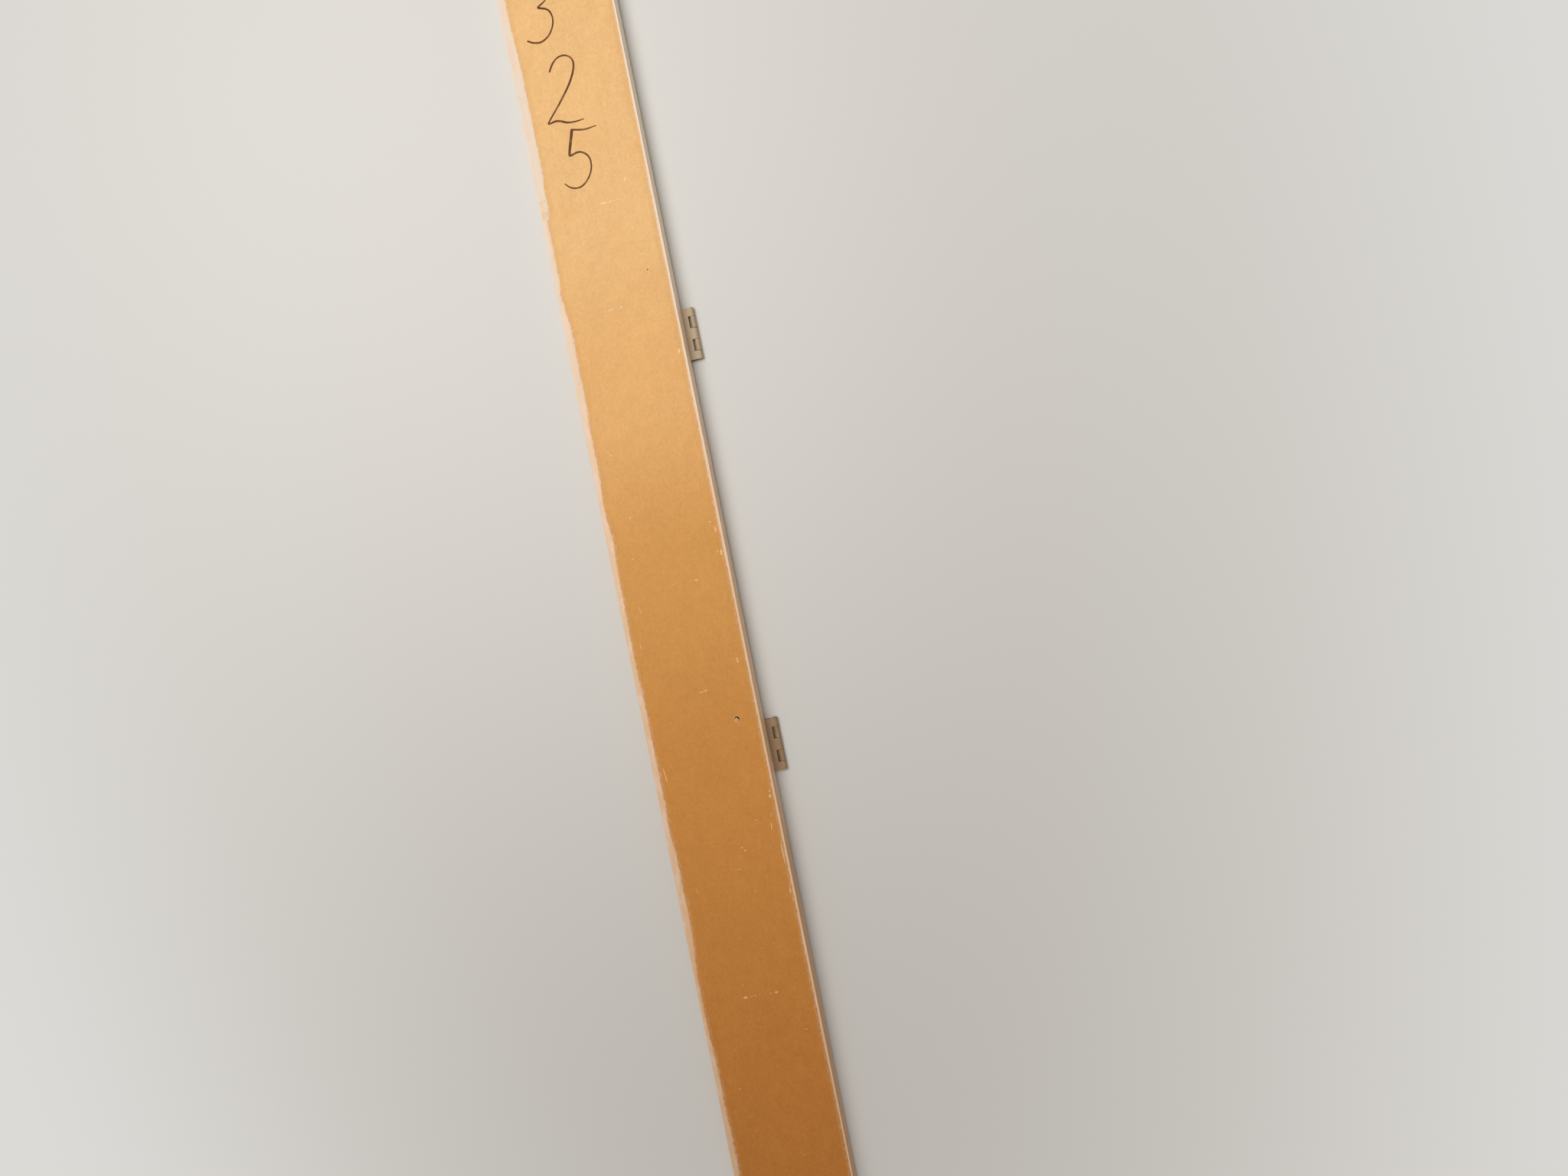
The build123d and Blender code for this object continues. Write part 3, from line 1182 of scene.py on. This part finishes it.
class JAMB_OT_hinges(Operator):
    """Paint the hinges and their screws"""

    bl_idname = "jamb.hinges"
    bl_label = "Hinges"

    def execute(self, context):
        sizes = context.scene.jamb_sizes
        joints = {joint["child"]: Vector(joint["pos_m"]) for joint in frame["joints"]}
        # Each hinge's coat is darkened as painted shade
        for hinge, coat in (("lower", sizes.lower_coat_in_shade), ("upper", sizes.upper_coat_in_shade)):
            pin = joints[f"{hinge}_door_leaf"]
            joint_shade_share = joint_shade_shares[hinge]
            material = painted_steel(f"{hinge}_hinge_paint", pin, coat, joint_shade_share, sizes)
            for part in ("jamb_leaf", "door_leaf", "hinge_pin", "foot_screw", "head_screw"):
                dress(f"{hinge}_{part}", material)
        return {"FINISHED"}


class JAMB_OT_stage(Operator):
    """Lay the floor, hang the lights and stand the camera"""

    bl_idname = "jamb.stage"
    bl_label = "Stage"

    def execute(self, context):
        stage = context.scene.jamb_stage
        self.lay_floor(context, stage)
        self.light(context, stage)
        self.stand_camera(context, stage)
        context.scene.view_settings.view_transform = "Standard"
        return {"FINISHED"}

    def lay_floor(self, context, stage):
        """A floor that is lit as usual, but looks like the backdrop far out."""
        finish = Finish("floor")
        finish.wear(base_color=stage.floor, roughness=0.85, specular_ior_level=0.2)
        oval = finish.measured(finish.place, floor_oval)
        far = finish.node("VectorMath", {"operation": "LENGTH"}, {0: oval}, output="Value")
        melted = far.past(floor_near, floor_far) * finish.looked_at()
        lit = Reading(finish, finish.shader.outputs[0])
        backdrop = finish.node("Emission", None, {"Color": stage.backdrop})
        surface = finish.node("MixShader", None, {0: melted, 1: lit, 2: backdrop})
        finish.feed(finish.tree.nodes["Material Output"].inputs["Surface"], surface)
        mesh = bmesh.new()
        bmesh.ops.create_grid(mesh, x_segments=1, y_segments=1, size=floor_size / 2)
        data = bpy.data.meshes.new("floor")
        mesh.to_mesh(data)
        mesh.free()
        data.materials.append(finish.material)
        floor = bpy.data.objects.new("floor", data)
        floor.location.z = cad_box[0].z - floor_drop
        context.scene.collection.objects.link(floor)

    def light(self, context, stage):
        """The main light, and light from all round that isn't seen behind the floor."""
        key = bpy.data.lights.new("key", "AREA")
        key.energy = stage.key_power
        key.size = stage.key_size
        key.color = stage.key_tint
        lamp = bpy.data.objects.new("key", key)
        lamp.location = stage.key_place
        lamp.rotation_euler = (key_aim - lamp.location).to_track_quat("-Z", "Y").to_euler()
        context.scene.collection.objects.link(lamp)
        world = bpy.data.worlds.new("room")
        world.use_nodes = True
        nodes = Nodes(world.node_tree)
        fill = nodes.node("Background", None, {"Color": stage.fill_tint, "Strength": stage.fill})
        backdrop = nodes.node("Background", None, {"Color": stage.backdrop})
        surface = nodes.node("MixShader", None, {0: nodes.looked_at(), 1: fill, 2: backdrop})
        nodes.feed(nodes.tree.nodes["World Output"].inputs["Surface"], surface)
        context.scene.world = world

    def stand_camera(self, context, stage):
        """The camera, where the photo was taken from."""
        data = bpy.data.cameras.new("camera")
        data.lens = stage.lens
        data.sensor_width = 36.0
        data.clip_start = 0.01
        camera = bpy.data.objects.new("camera", data)
        camera.location = stage.camera_place
        camera.rotation_euler = Euler(stage.camera_turn)
        context.scene.collection.objects.link(camera)
        context.scene.camera = camera


STEPS = (
    JAMB_OT_board,
    JAMB_OT_laps,
    JAMB_OT_figures,
    JAMB_OT_marks,
    JAMB_OT_hinges,
    JAMB_OT_stage,
)


class JAMB_PT_panel(Panel):
    """Steps and settings of the jamb leg"""

    bl_idname = "JAMB_PT_panel"
    bl_label = "Door jamb leg"
    bl_space_type = "VIEW_3D"
    bl_region_type = "UI"
    bl_category = "Jamb"

    def draw(self, context):
        layout = self.layout
        for step in STEPS:
            layout.operator(step.bl_idname)
        for group in (context.scene.jamb_sizes, context.scene.jamb_stage):
            box = layout.box()
            for name in group.bl_rna.properties.keys():
                if name not in ("rna_type", "name"):
                    box.prop(group, name)


CLASSES = (JambSizes, JambStage, *STEPS, JAMB_PT_panel)


def register():
    for each in CLASSES:
        bpy.utils.register_class(each)
    bpy.types.Scene.jamb_sizes = PointerProperty(type=JambSizes)
    bpy.types.Scene.jamb_stage = PointerProperty(type=JambStage)


def unregister():
    del bpy.types.Scene.jamb_stage
    del bpy.types.Scene.jamb_sizes
    for each in reversed(CLASSES):
        bpy.utils.unregister_class(each)


def main():
    register()
    bpy.ops.jamb.board()
    bpy.ops.jamb.laps()
    bpy.ops.jamb.figures()
    bpy.ops.jamb.marks()
    bpy.ops.jamb.hinges()
    bpy.ops.jamb.stage()


if __name__ == "__main__":
    main()
